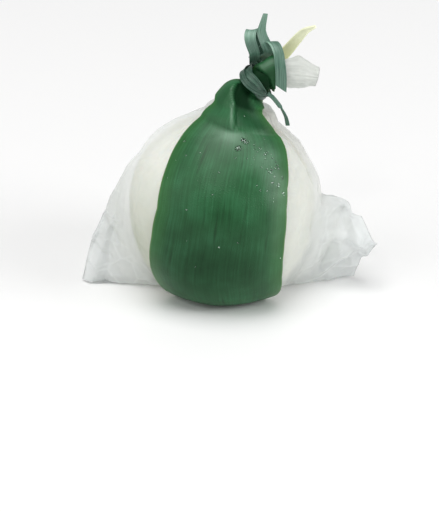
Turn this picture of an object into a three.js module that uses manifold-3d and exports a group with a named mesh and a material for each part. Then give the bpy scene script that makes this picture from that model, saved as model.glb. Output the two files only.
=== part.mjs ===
// A burrata in its tied film bag, with a wide green leaf over it and a green ribbon round the neck.
// Millimetres, +Z up. The floor is z = 0, the ball's axis is x = y = 0, and the front looks to -Y.
// The bag is one solid: the ball, the two slack lower corners of the bag, the neck and the tail.
// The leaf goes down the front, under the ball and up the back, and both its ends pass the ribbon.
import * as THREE from 'three';
import { mergeVertices } from 'three/addons/utils/BufferGeometryUtils.js';
import Module from 'manifold-3d';

// Ball of cheese
const ballRadius = 43;
const ballCentreZ = 40;
const ballRise = 41; // from the centre to where the crown of the ball would be
const footRadius = 20; // the soft ball settles on a flat foot

// Leaf
const leafThickness = 0.8;
const gap = 0.35; // between pieces that touch
const leafCutX = 22; // where the front end of the leaf is cut off
const leafColumns = 18;
const leafWave = 0.35; // it lifts off the film by up to twice this
const ridge = { height: 2.1, left: 24, right: 8 }; // the fold down from the tie, in mm and degrees
const ridgeRun = [[1.48, -6], [1.6, -18], [1.67, -27], [1.73, -45], [1.8, -68]]; // level and degrees
const cutFlare = 1.5; // its cut end opens by this past the tie
const tipTrough = 0.3; // depth of the tip's trough, as a share of its half width

// Neck and gathered tail of the bag
const shoulderZ = 58; // the film leaves the round of the ball here
const tie = new THREE.Vector3(13.8, 0, 95.8); // middle of the ribbon's band
const neckLean = THREE.MathUtils.degToRad(45); // at the tie the neck leans to +X
const neckRadius = 4.7;
const neckStraight = 9; // length of the spine's handles on both sides of the tie
const shoulderLean = 0.3; // share of the lean that is reached at the shoulder
const tent = { flare: 34, power: 1.2, straightFrom: 0.84 }; // the film between the crown and the tie
const tentBlend = 6; // how tightly the tent runs into the round of the ball
// Relief of the neck just below the ribbon: it stands out at both sides and is pressed in at the front
const collarLeft = [ // level and mm
  [1.47, 0], [1.57, 0.7], [1.66, 0.4], [1.7, 0.9], [1.735, 1.6], [1.77, 1.3], [1.86, 0.4], [1.9, 0],
];
const collarRight = { height: 4.5, from: [1.2, 1.5], end: [1.77, 1.88] };
const hollow = { depth: 2.8, centre: 10, halfWidth: 38, from: [1.5, 1.66], end: [1.82, 1.92] };
const tailRadius = 7.4;
const tailEnd = new THREE.Vector3(40.2, 2, 97.7);
const tailEndRadius = 5.6;
const pleatCount = 11;
const pleatDepth = 0.045; // share of the radius, at the neck
const tailCrease = 0.06; // share of the radius

// Slack corners of the bag, as points of height and distance from the axis
const leftCorner = [
  [0, 64], [22, 58.4], [31, 54.6], [44.5, 49.4], [57, 43.2], [62.5, 40.4], [67, 37.8], [69.3, 35.9],
  [71.6, 33.3], [73.8, 30], [76, 26.2], [80, 16.5], [86, 4],
];
const rightCorner = [
  [0, 58], [12, 61.7], [20.2, 68], [26.6, 64.3], [32.6, 60.4], [33.4, 56.6], [38, 55], [40.4, 51.6], [42, 43],
];
const cornerSpread = 0.13; // radians over which a corner runs out into the ball
const cornerEnd = 0.4; // radians from its edge where a corner ends
const cornerSway = { left: 0.06, right: 0.09 }; // radians that their edges wander to front and back

// Ribbon
const ribbonThickness = 0.6;
const bandWidth = 6.8; // along the neck, for all its turns
const bandThickness = 0.8;
const bandRoom = 1.3; // from the leaf to the inside of the band, as the neck bends in it
const bandTurns = 3;
const knotPlace = new THREE.Vector3(11.2, 4, 103.6); // on the upper side of the band, turned to the back
const knotHalves = [3.2, 2.6, 2];

// Mesh density
const ringSides = 56;
const rings = { ball: 20, shoulder: 18, tail: 11 };

const film = new THREE.MeshStandardMaterial({ color: '#e9ece2', roughness: 0.35, metalness: 0 });
const green = new THREE.MeshStandardMaterial({ color: '#3f7a4c', roughness: 0.4, metalness: 0 });
const teal = new THREE.MeshStandardMaterial({ color: '#5d8d76', roughness: 0.45, metalness: 0 });

const { lerp, smoothstep } = THREE.MathUtils;
const up = new THREE.Vector3(0, 0, 1);
const foot = leafThickness + gap; // the bag stands this high, on the leaf
const neckAxis = new THREE.Vector3(Math.sin(neckLean), 0, Math.cos(neckLean));

// Spine of the bag above the shoulder: up to the tie, and on to the end of the tail
const neckSpine = new THREE.CubicBezierCurve3(
  new THREE.Vector3(0, 0, shoulderZ),
  new THREE.Vector3(3, 0, shoulderZ + 15),
  tie.clone().addScaledVector(neckAxis, -neckStraight),
  tie,
);
const tailSpine = new THREE.CubicBezierCurve3(
  tie,
  tie.clone().addScaledVector(neckAxis, neckStraight),
  tailEnd.clone().add(new THREE.Vector3(-9, 0, 2.2)),
  tailEnd,
);

function alongPoints(points, at) {
  let i = 1;
  while (i < points.length - 1 && points[i][0] < at) i += 1;
  const [a, b] = [points[i - 1], points[i]];
  const share = THREE.MathUtils.clamp((at - a[0]) / (b[0] - a[0]), 0, 1);
  return lerp(a[1], b[1], share);
}

// A section of the bag. Level 0 is the foot, 1 the shoulder, 2 the tie and 3 the end of the tail.
function section(level) {
  if (level <= 1) {
    const top = Math.asin((shoulderZ - ballCentreZ) / ballRise);
    const latitude = lerp(-Math.PI / 2, top, Math.max(level, 0));
    const low = latitude < 0;
    const height = low ? ballCentreZ - foot : ballRise;
    const inner = low ? footRadius : 0;
    const centre = new THREE.Vector3(0, 0, ballCentreZ + height * Math.sin(latitude));
    const radius = inner + (ballRadius - inner) * Math.cos(latitude);
    return { centre, axis: up, radius };
  }
  if (level <= 2) {
    const s = level - 1;
    const centre = neckSpine.getPoint(s);
    const rise = (centre.z - ballCentreZ) / ballRise;
    const round = ballRadius * Math.sqrt(Math.max(0, 1 - rise ** 2));
    const toTie = Math.max(0, 1 - s / tent.straightFrom); // the last stretch, under the ribbon, is straight
    const cone = (neckRadius + tent.flare * toTie ** tent.power) * smoothstep(s, 0.15, 0.55);
    const radius = (round ** tentBlend + cone ** tentBlend) ** (1 / tentBlend);
    const early = shoulderLean * smoothstep(s, 0.1, 0.6);
    const late = (1 - shoulderLean) * smoothstep(s, 0.6, tent.straightFrom);
    const lean = neckLean * (early + late);
    return { centre, axis: new THREE.Vector3(Math.sin(lean), 0, Math.cos(lean)), radius };
  }
  const s = Math.min(level - 2, 1);
  const swell = (tailRadius - neckRadius) * smoothstep(s, 0.2, 0.6);
  const close = (tailRadius - tailEndRadius) * smoothstep(s, 0.75, 1);
  return {
    centre: tailSpine.getPoint(s),
    axis: tailSpine.getTangent(s),
    radius: neckRadius + swell - close,
  };
}

// A point on the round of the bag, without corners or pleats. Angle 0 is +X and -90 degrees the front.
function roundPoint(level, angle, radius) {
  const { centre, axis, radius: own } = section(level);
  const across = new THREE.Vector3(0, 1, 0);
  const side = new THREE.Vector3().crossVectors(across, axis).normalize();
  const back = new THREE.Vector3().crossVectors(axis, side);
  const r = radius ?? own;
  return centre
    .clone()
    .addScaledVector(side, r * Math.cos(angle))
    .addScaledVector(back, r * Math.sin(angle));
}

function roundNormal(level, angle) {
  const step = 0.01;
  const low = Math.max(level - step, 0);
  const upward = roundPoint(level + step, angle).sub(roundPoint(low, angle));
  const around = roundPoint(level, angle + step).sub(roundPoint(level, angle - step));
  return new THREE.Vector3().crossVectors(around, upward).normalize();
}

// How far a corner stands out at an angle from its edge, from 1 at the edge to 0
function cornerShare(away) {
  const rest = Math.exp(-cornerEnd / cornerSpread);
  return Math.max(0, (Math.exp(-away / cornerSpread) - rest) / (1 - rest));
}

// The slack corners at a height: how far each reaches past the round, and how far its edge leans to the back
function corners(z, radius) {
  const left = Math.max(alongPoints(leftCorner, z) - radius, 0);
  const right = z < rightCorner.at(-1)[0] ? Math.max(alongPoints(rightCorner, z) - radius, 0) : 0;
  return [
    { edge: Math.PI, reach: left, lean: -cornerSway.left * Math.sin(z / 13) },
    { edge: 0, reach: right, lean: cornerSway.right * Math.sin(z / 6 + 1) },
  ];
}

// How far the neck stands out just below the ribbon, with a corner at the left, less the hollow at its front
function neckRelief(level, angle) {
  const swell = ({ from, end }) => smoothstep(level, ...from) * (1 - smoothstep(level, ...end));
  const left = alongPoints(collarLeft, level);
  const right = collarRight.height * swell(collarRight);
  const raised = left * ((1 - Math.cos(angle)) / 2) ** 2 + right * ((1 + Math.cos(angle)) / 2) ** 2;
  const away = (THREE.MathUtils.radToDeg(angle) + 90 - hollow.centre) / hollow.halfWidth;
  return raised - hollow.depth * swell(hollow) * Math.exp(-(away ** 2));
}

function bagPoint(level, angle) {
  const { centre, radius } = section(level);
  const pleats = pleatDepth * smoothstep(level, 1.3, 1.9) * Math.cos(pleatCount * angle);
  const crease = level > 2.2 ? tailCrease * Math.cos(3 * angle + 6 * level) * radius : 0;
  let out = radius * (1 + pleats) + crease + neckRelief(level, angle);
  let turned = angle;
  for (const corner of level < 2 ? corners(centre.z, radius) : []) {
    const away = Math.abs(Math.atan2(Math.sin(angle - corner.edge), Math.cos(angle - corner.edge)));
    out += corner.reach * cornerShare(away);
    turned += corner.reach > 0 ? corner.lean * cornerShare(away) : 0;
  }
  return roundPoint(level, turned, out);
}

// Angles bunch up at +X and -X, where the corners run out
function ringAngle(i) {
  const even = (2 * Math.PI * i) / ringSides - Math.PI;
  return even - 0.4 * Math.sin(2 * even);
}

function closedMesh(points, faces) {
  const geometry = new THREE.BufferGeometry();
  geometry.setAttribute('position', new THREE.Float32BufferAttribute(points.flatMap((p) => p.toArray()), 3));
  geometry.setIndex(faces.flat());
  geometry.computeVertexNormals();
  return geometry;
}

function loftedSolid(ringPoints) {
  const sides = ringPoints[0].length;
  const points = ringPoints.flat();
  const faces = [];
  for (let r = 0; r < ringPoints.length - 1; r += 1) {
    for (let i = 0; i < sides; i += 1) {
      const a = r * sides + i;
      const b = r * sides + ((i + 1) % sides);
      faces.push([a, b, b + sides], [a, b + sides, a + sides]);
    }
  }
  for (const [ring, flip] of [[0, true], [ringPoints.length - 1, false]]) {
    const centre = new THREE.Vector3();
    for (const p of ringPoints[ring]) centre.addScaledVector(p, 1 / sides);
    const hub = points.push(centre) - 1;
    for (let i = 0; i < sides; i += 1) {
      const a = ring * sides + i;
      const b = ring * sides + ((i + 1) % sides);
      faces.push(flip ? [hub, b, a] : [hub, a, b]);
    }
  }
  return closedMesh(points, faces);
}

function bag() {
  const levels = [];
  Object.values(rings).forEach((count, part) => {
    for (let i = 0; i < count; i += 1) levels.push(part + i / count);
  });
  levels.push(3);
  const ringPoints = levels.map((level) => {
    const ring = [];
    for (let i = 0; i < ringSides; i += 1) ring.push(bagPoint(level, ringAngle(i)));
    return ring;
  });
  return loftedSolid(ringPoints);
}

// A thin solid from rows of { point, normal, low, high }: its two faces lie low and high along the normal
function thinSolid(rows) {
  const columns = rows[0].length;
  const inner = rows.flat().map((c) => c.point.clone().addScaledVector(c.normal, c.low));
  const outer = rows.flat().map((c) => c.point.clone().addScaledVector(c.normal, c.high));
  const far = inner.length;
  const faces = [];
  for (let r = 0; r < rows.length - 1; r += 1) {
    for (let c = 0; c < columns - 1; c += 1) {
      const a = r * columns + c;
      const b = a + columns;
      faces.push([far + a, far + b, far + a + 1], [far + a + 1, far + b, far + b + 1]);
      faces.push([a, a + 1, b], [a + 1, b + 1, b]);
    }
  }
  const edge = (a, b) => faces.push([a, b, far + b], [a, far + b, far + a]);
  for (let r = 0; r < rows.length - 1; r += 1) {
    edge(r * columns, (r + 1) * columns);
    edge((r + 2) * columns - 1, (r + 1) * columns - 1);
  }
  for (let c = 0; c < columns - 1; c += 1) {
    edge(c + 1, c);
    edge((rows.length - 1) * columns + c, (rows.length - 1) * columns + c + 1);
  }
  return closedMesh([...inner, ...outer], faces);
}

// The leaf's two edges round the bag, as height and degrees from straight ahead, or from straight behind
const frontEdges = [
  [1, -58, 48], [18, -53, 38], [27, -49, 36], [37, -45, 36], [50, -42.5, 38], [58, -44.5, 42],
  [65, -49.5, 47], [72, -55, 54], [77, -61, 58], [80, -63, 54], [83.5, -62, 46], [85, -67, 42],
  [86, -84, 40], [88.3, -90, 44], [90, -98, 56], [92, -98, 70], [96, -88, 70], [100, -85, 48],
];
const backEdges = [
  [1, -48, 48], [20, -36, 34], [40, -31, 31], [60, -26, 30], [74, -14, 32], [84, -10, 36], [92, -30, 44],
];

function leafRow(level, facing) {
  const front = facing === 'front';
  const { centre, radius } = section(level);
  const edges = front ? frontEdges : backEdges;
  const low = alongPoints(edges.map(([z, edge]) => [z, edge]), centre.z);
  const high = alongPoints(edges.map(([z, , edge]) => [z, edge]), centre.z);
  const folded = front ? smoothstep(level, 1.44, 1.56) * (1 - smoothstep(level, 1.74, 1.85)) : 0;
  const flare = smoothstep(level, 2.2, 2.35); // the cut end opens past the tie
  const row = [];
  for (let c = 0; c <= leafColumns; c += 1) {
    const across = (2 * c) / leafColumns - 1;
    const turn = lerp(low, high, (1 + across) / 2);
    const angle = THREE.MathUtils.degToRad(front ? turn - 90 : 90 - turn);
    const wave = leafWave * (1 + Math.sin(5 * across + 9 * level)) * smoothstep(level, 0.05, 0.3);
    const offRidge = turn - alongPoints(ridgeRun, level);
    const reach = offRidge < 0 ? ridge.left : ridge.right;
    const fold = ridge.height * folded * Math.exp(-((offRidge / reach) ** 2));
    const squeeze = 1 - smoothstep(level, 1.66, 1.83);
    const film = (pleatDepth * radius + 0.15) * smoothstep(level, 1.1, 1.7);
    const inner = gap + film + fold + wave * squeeze + cutFlare * flare;
    const upright = level - 0.06 * Math.cos(angle) * flare; // the cut stands upright
    row.push({
      point: roundPoint(upright, angle, section(upright).radius + neckRelief(level, angle)),
      normal: roundNormal(upright, angle),
      low: inner,
      high: inner + leafThickness,
    });
  }
  return row;
}

function levelSteps(from, to, count) {
  return Array.from({ length: count }, (_, i) => lerp(from, to, i / (count - 1)));
}

function cutLevel() {
  let level = 2;
  while (section(level).centre.x < leafCutX) level += 0.005;
  return level;
}

// The back end of the leaf runs out past the tie into a narrow pale tip
function tipRows(lastRow) {
  const start = lastRow[leafColumns / 2].point.clone().addScaledVector(lastRow[leafColumns / 2].normal, gap);
  const route = new THREE.CatmullRomCurve3([
    start,
    new THREE.Vector3(22.6, 9.6, 102.4),
    new THREE.Vector3(26.1, 9.8, 105.4),
    new THREE.Vector3(32.3, 8.4, 113.6),
    new THREE.Vector3(35.2, 7, 117),
    new THREE.Vector3(39.2, 5, 119.7),
  ]);
  const firstWide = lastRow[leafColumns].point.clone().sub(lastRow[0].point).normalize();
  const halfWidths = [[0, 3.9], [0.4, 2.3], [0.75, 1.4], [1, 0.35]];
  return levelSteps(0.14, 1, 9).map((s) => {
    const along = route.getTangent(s);
    const wide = firstWide.clone().addScaledVector(along, -firstWide.dot(along)).normalize();
    const out = new THREE.Vector3().crossVectors(along, wide).normalize();
    const row = [];
    const half = alongPoints(halfWidths, s);
    for (let c = 0; c <= leafColumns; c += 1) {
      const across = (2 * c) / leafColumns - 1;
      const trough = tipTrough * half * (1 - across ** 2);
      row.push({
        point: route.getPoint(s).addScaledVector(wide, across * half),
        normal: out,
        low: -leafThickness / 2 + trough,
        high: leafThickness / 2 + trough,
      });
    }
    return row;
  });
}

function leaf() {
  const neckRings = Array.from({ length: rings.shoulder / 2 }, (_, i) => 2 - (i + 1) / rings.shoulder);
  const body = [...neckRings, ...levelSteps(1.4, 0, 14)]; // near the tie its rows meet the film's rings
  const front = [...levelSteps(cutLevel(), 2, 7), ...body].map((level) => leafRow(level, 'front'));
  const back = [...body.toReversed(), ...levelSteps(1.99, 2.13, 4)].map((level) => leafRow(level, 'back'));
  const [frontFoot, backFoot] = [front[front.length - 1], back[0]];
  const under = levelSteps(0, 1, 5).slice(1, -1).map((share) => frontFoot.map((c, i) => ({
    ...c,
    point: c.point.clone().lerp(backFoot[i].point, share),
    normal: up.clone().negate(),
  })));
  const tip = tipRows(back[back.length - 1]);
  return thinSolid([...front, ...under, ...back, ...tip]);
}

// A flat ribbon along a smooth route; its width lies across the route, in the direction wide
function ribbon(route, wide, widths) {
  const curve = new THREE.CatmullRomCurve3(route.map((p) => new THREE.Vector3(...p)));
  const across = new THREE.Vector3(...wide);
  const rows = levelSteps(0, 1, 4 * (route.length - 1) + 1).map((s) => {
    const along = curve.getTangent(s);
    const side = across.clone().addScaledVector(along, -across.dot(along)).normalize();
    const normal = new THREE.Vector3().crossVectors(along, side).normalize();
    const half = alongPoints(widths, s) / 2;
    return [-half, half].map((offset) => ({
      point: curve.getPoint(s).addScaledVector(side, offset),
      normal,
      low: -ribbonThickness / 2,
      high: ribbonThickness / 2,
    }));
  });
  return thinSolid(rows);
}

// The turns of ribbon round the neck, as one ring with a shallow bulge for each turn
function band() {
  const inside = neckRadius * (1 + pleatDepth) + gap + leafThickness + bandRoom;
  const profile = [];
  const steps = 4 * bandTurns;
  profile.push(new THREE.Vector2(inside, -bandWidth / 2));
  for (let i = 0; i <= steps; i += 1) {
    const bulge = Math.abs(Math.sin((Math.PI * bandTurns * i) / steps));
    const y = bandWidth * (i / steps - 0.5);
    profile.push(new THREE.Vector2(inside + bandThickness * (0.6 + 0.4 * bulge), y));
  }
  profile.push(new THREE.Vector2(inside, bandWidth / 2));
  profile.push(profile[0].clone());
  const ring = new THREE.LatheGeometry(profile, 40);
  ring.rotateX(Math.PI / 2);
  ring.rotateY(neckLean);
  return ring.translate(tie.x, tie.y, tie.z);
}

function knot() {
  const lump = new THREE.IcosahedronGeometry(1, 2);
  lump.scale(...knotHalves);
  lump.rotateY(-neckLean);
  return lump.translate(knotPlace.x, knotPlace.y, knotPlace.z);
}

function tieRibbon(wasm) {
  const solid = (geometry) => {
    const bare = geometry.clone();
    bare.deleteAttribute('normal');
    bare.deleteAttribute('uv');
    const merged = mergeVertices(bare, 1e-4);
    const vertProperties = new Float32Array(merged.attributes.position.array);
    const triVerts = new Uint32Array(merged.index.array);
    return new wasm.Manifold(new wasm.Mesh({ numProp: 3, vertProperties, triVerts }));
  };
  const start = knotPlace.toArray();
  const loop = ribbon(
    [start, [13, 1.4, 106.6], [12.9, -1.5, 110.1], [11.3, -2.5, 115.2], [10.9, -1.8, 118.3],
      [11.9, 1, 119.7], [13.6, 3.8, 116.5], [14.3, 5.2, 110.5], [12.6, 5, 104.6]],
    [1, 0, 0.1],
    [[0, 4.6], [0.5, 4.8], [1, 4.6]],
  );
  const uprightEnd = ribbon(
    [start, [15, 4.6, 105.2], [18.4, 1.6, 107.8], [19.2, -0.6, 110.6], [17.7, -0.6, 114], [16, 0.8, 118],
      [16.2, 1.8, 121], [17.5, 2.5, 127.4]],
    [1, 0.2, -0.3],
    [[0, 4.4], [0.5, 4.6], [0.75, 4.2], [1, 2.4]],
  );
  const hangingEnd = ribbon(
    [start, [14.6, 4, 107.6], [17.6, 2.4, 111.8], [20, -0.2, 114.8], [21.9, -3.2, 114.4],
      [23.2, -6.2, 111.8], [23.9, -8.7, 107.2], [24.3, -9.3, 102], [24.2, -9.3, 94.7]],
    [1, 0.1, 0],
    [[0, 4.4], [0.5, 4.4], [1, 4.6]],
  );
  const strand = ribbon(
    [[18.6, -5.6, 93], [20.9, -6.4, 91.4], [23.8, -7, 87.8], [24.6, -7.2, 86.4], [26.4, -8, 82.9],
      [27.3, -8.5, 79.1]],
    [0.8, 0.4, 0.4],
    [[0, 1.9], [0.5, 1.6], [1, 1.7]],
  );
  let whole = solid(band()).add(solid(knot()));
  for (const piece of [loop, uprightEnd, hangingEnd, strand]) whole = whole.add(solid(piece));
  // Pockets that the union closes inside the knot are filled: only the outer skin is kept
  const [outer] = whole.decompose().sort((a, b) => b.volume() - a.volume());
  const mesh = outer.getMesh();
  const geometry = new THREE.BufferGeometry();
  geometry.setAttribute('position', new THREE.BufferAttribute(mesh.vertProperties, 3));
  geometry.setIndex(new THREE.BufferAttribute(mesh.triVerts, 1));
  geometry.computeVertexNormals();
  return geometry;
}

function named(name, geometry, material) {
  const mesh = new THREE.Mesh(geometry, material);
  mesh.name = name;
  return mesh;
}

const wasm = await Module();
wasm.setup();

const burrata = new THREE.Group();
burrata.add(named('film_bag', bag(), film));
burrata.add(named('leaf', leaf(), green));
burrata.add(named('tie_ribbon', tieRibbon(wasm), teal));

export default burrata;
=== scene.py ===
# Burrata: a ball of fresh cheese in a tied film bag, with a wide green leaf folded round it and a
# green ribbon on the neck.
# Shapes are worked out in millimetres and placed in metres, +Z up, with the front to -Y.
# A place along the bag is a level: 0 is the foot of the ball, 1 its shoulder, 2 the tie and 3 the end
# of the tail. An angle round it is 0 at +X and -90 degrees at the front.
import bpy
import math
import random
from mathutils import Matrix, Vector, noise


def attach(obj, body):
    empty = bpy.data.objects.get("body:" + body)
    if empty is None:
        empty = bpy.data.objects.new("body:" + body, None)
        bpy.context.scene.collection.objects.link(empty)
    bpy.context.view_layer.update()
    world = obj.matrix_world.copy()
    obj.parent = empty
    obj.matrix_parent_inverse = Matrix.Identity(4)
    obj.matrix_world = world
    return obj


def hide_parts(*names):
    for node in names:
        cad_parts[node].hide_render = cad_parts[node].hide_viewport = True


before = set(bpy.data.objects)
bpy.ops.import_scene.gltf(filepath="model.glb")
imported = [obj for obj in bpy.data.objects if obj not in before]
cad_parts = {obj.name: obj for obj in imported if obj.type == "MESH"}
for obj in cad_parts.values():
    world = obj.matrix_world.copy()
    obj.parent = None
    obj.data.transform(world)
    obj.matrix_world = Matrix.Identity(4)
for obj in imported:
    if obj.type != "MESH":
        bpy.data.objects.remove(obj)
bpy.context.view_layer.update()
mm = 0.001
print("frame loaded")


def mix(a, b, share):
    return a + (b - a) * share


def ease(x, low, high):  # smooth step from 0 at low to 1 at high
    s = min(max((x - low) / (high - low), 0), 1)
    return s * s * (3 - 2 * s)


def bump(x, middle, halfWidth):  # 1 in the middle, running out to both sides
    return math.exp(-((x - middle) / halfWidth) ** 2)


def alongPoints(points, at):  # value at a place, from (place, value) points
    i = 1
    while i < len(points) - 1 and points[i][0] < at:
        i += 1
    (a, low), (b, high) = points[i - 1], points[i]
    return mix(low, high, min(max((at - a) / (b - a), 0), 1))


def bezier(points, s):
    while len(points) > 1:
        points = [a.lerp(b, s) for a, b in zip(points, points[1:])]
    return points[0]


def routePoint(points, s):  # smooth curve through points
    at = min(max(s, 0), 1) * (len(points) - 1)
    i = min(int(at), len(points) - 2)
    t = at - i
    b, c = points[i], points[i + 1]
    a = points[i - 1] if i > 0 else 2 * b - c
    d = points[i + 2] if i + 2 < len(points) else 2 * c - b
    return 0.5 * (2 * b + (c - a) * t + (2 * a - 5 * b + 4 * c - d) * t * t
                  + (3 * b - a - 3 * c + d) * t ** 3)


def routeWay(points, s):  # direction of that curve
    return (routePoint(points, min(s + 0.004, 1)) - routePoint(points, max(s - 0.004, 0))).normalized()


def ridges(place):  # 0 in the valleys and 1 on sharp ridges
    return 1 - min(2.2 * abs(noise.noise(place)), 1)


def facets(place):  # 0 on straight creases, rising over the flat facets between them
    near = noise.voronoi(place)[0]
    return near[1] - near[0]


def clearSelection():
    if bpy.context.object and bpy.context.object.mode != "OBJECT":
        bpy.ops.object.mode_set(mode="OBJECT")
    bpy.ops.object.select_all(action="DESELECT")


def pick(piece):
    clearSelection()
    piece.select_set(True)
    bpy.context.view_layer.objects.active = piece


def joinUp(pieces, name):  # the first piece takes in the others
    pick(pieces[0])
    for piece in pieces:
        piece.select_set(True)
    bpy.ops.object.join()
    joined = bpy.context.active_object
    joined.name = joined.data.name = name
    return joined


def flatSheet(name, across, along):  # a flat grid with a UV map, ready to be bent into place
    clearSelection()
    bpy.ops.mesh.primitive_grid_add(x_subdivisions=across, y_subdivisions=along, size=1, calc_uvs=True)
    sheet = bpy.context.active_object
    sheet.name = sheet.data.name = name
    return sheet


def sheetPlace(vertex):  # u across and v along a sheet that is still flat, both from 0 to 1
    return vertex.co.x + 0.5, vertex.co.y + 0.5


def bendSheet(sheet, place):  # place(u, v) is in millimetres
    for vertex in sheet.data.vertices:
        vertex.co = place(*sheetPlace(vertex)) * mm
    sheet.data.update()


def pointValue(piece, name):  # a value for each point, which the material reads by its name
    return piece.data.attributes.new(name, "FLOAT", "POINT").data


def closeUp(piece, distance=0.002):
    pick(piece)
    bpy.ops.object.mode_set(mode="EDIT")
    bpy.ops.mesh.select_all(action="SELECT")
    bpy.ops.mesh.remove_doubles(threshold=distance * mm)
    bpy.ops.mesh.normals_make_consistent(inside=False)
    bpy.ops.object.mode_set(mode="OBJECT")
    bpy.ops.object.shade_smooth()


def thicken(piece, thickness, offset, rounded=0):  # rounded is the width of the rounded edges
    wall = piece.modifiers.new("wall", "SOLIDIFY")
    wall.thickness = thickness * mm
    wall.offset = offset
    wall.use_even_offset = False
    if rounded:
        edge = piece.modifiers.new("edge", "BEVEL")
        edge.width = rounded * mm
        edge.segments = 2
        edge.angle_limit = math.radians(60)
    pick(piece)
    for modifier in list(piece.modifiers):
        bpy.ops.object.modifier_apply(modifier=modifier.name)


def finishPiece(piece, material, nodes=()):
    piece.data.materials.clear()
    piece.data.materials.append(material)
    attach(piece, "root")
    if nodes:
        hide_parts(*nodes)


def linear(hexColour):
    channels = [int(hexColour[i:i + 2], 16) / 255 for i in (1, 3, 5)]
    return tuple(c / 12.92 if c <= 0.04045 else ((c + 0.055) / 1.055) ** 2.4 for c in channels) + (1,)


def newMaterial(name):
    material = bpy.data.materials.new(name)
    material.use_nodes = True
    material.node_tree.nodes.clear()
    return material, material.node_tree


def node(tree, kind, settings=None, stops=(), **links):
    # Links and values go to the sockets named, with _ for a space, or i6 for socket 6.
    # The stops of a colour ramp are (place, hex colour) pairs.
    made = tree.nodes.new(kind)
    for key, value in (settings or {}).items():
        setattr(made, key, value)
    for key, value in links.items():
        numbered = key[0] == "i" and key[1:].isdigit()
        socket = made.inputs[int(key[1:]) if numbered else key.replace("_", " ")]
        if isinstance(value, bpy.types.NodeSocket):
            tree.links.new(value, socket)
        else:
            socket.default_value = value
    while stops and len(made.color_ramp.elements) < len(stops):
        made.color_ramp.elements.new(0.5)
    for i, (place, colour) in enumerate(stops):
        made.color_ramp.elements[i].position = place
        made.color_ramp.elements[i].color = linear(colour)
    return made


# The bag's shape, which the film, the leaf and the ribbon share
bagShape = {
    "ballRadius": 43,
    "ballCentreZ": 40,
    "ballRise": 41,  # from the centre to where the crown of the ball would be
    "footRadius": 20,  # the soft ball settles on a flat foot
    "foot": 1.15,  # the bag stands this high, on the leaf
    "shoulderZ": 58,  # the film leaves the round of the ball here
    "crownPull": Vector((3, 0, 15)),  # the way its middle line sets out from the shoulder
    "tie": Vector((13.8, 0, 95.8)),  # middle of the ribbon's band
    "neckLean": math.radians(45),
    "neckStraight": 9,  # length of the middle line's handles on both sides of the tie
    "neckRadius": 4.7,
    "shoulderLean": 0.3,  # share of the lean that is reached at the shoulder
    "tent": (34, 1.2, 0.84),  # flare of the film between crown and tie, its power, and where it ends
    "tentBlend": 6,  # how tightly the tent runs into the round of the ball
    "tailRadius": 7.4,
    "tailEnd": Vector((40.2, 2, 97.7)),
    "tailPull": Vector((-9, 0, 2.2)),
    "tailEndRadius": 5.6,
    "pleatCount": 11,
    "pleatDepth": 0.045,  # share of the radius, at the neck
    "leftCorner": [  # height and distance from the ball's axis
        (0, 64), (22, 58.4), (31, 54.6), (44.5, 49.4), (57, 43.2), (62.5, 40.4), (67, 37.8), (69.3, 35.9),
        (71.6, 33.3), (73.8, 30), (76, 26.2), (80, 16.5), (86, 4),
    ],
    "rightCorner": [
        (0, 58), (12, 61.7), (20.2, 68), (26.6, 64.3), (32.6, 60.4), (33.4, 56.6), (37, 55.5),
        (39.2, 51.6), (40.4, 43),
    ],
    "rightCornerTop": 41,
    "cornerSpread": 0.13,  # radians over which a corner runs out into the ball
    "cornerEnd": 0.4,  # radians from its edge where a corner ends
    "cornerSway": (0.06, 0.09),  # radians that the left and the right edge wander to front and back
    "leftCollar": [  # level and mm that the neck stands out at the left below the ribbon
        (1.47, 0), (1.57, 0.5), (1.61, 0.3), (1.65, 0.5), (1.69, 1), (1.735, 1.4), (1.77, 1.1),
        (1.86, 0.4), (1.9, 0),
    ],
    "rightCollar": 4.5,  # mm that it stands out at the right
    "hollow": (2.8, 10, 38),  # mm that it is pressed in at the front, its middle and half width in degrees
}
neckAxis = Vector((math.sin(bagShape["neckLean"]), 0, math.cos(bagShape["neckLean"])))


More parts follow.
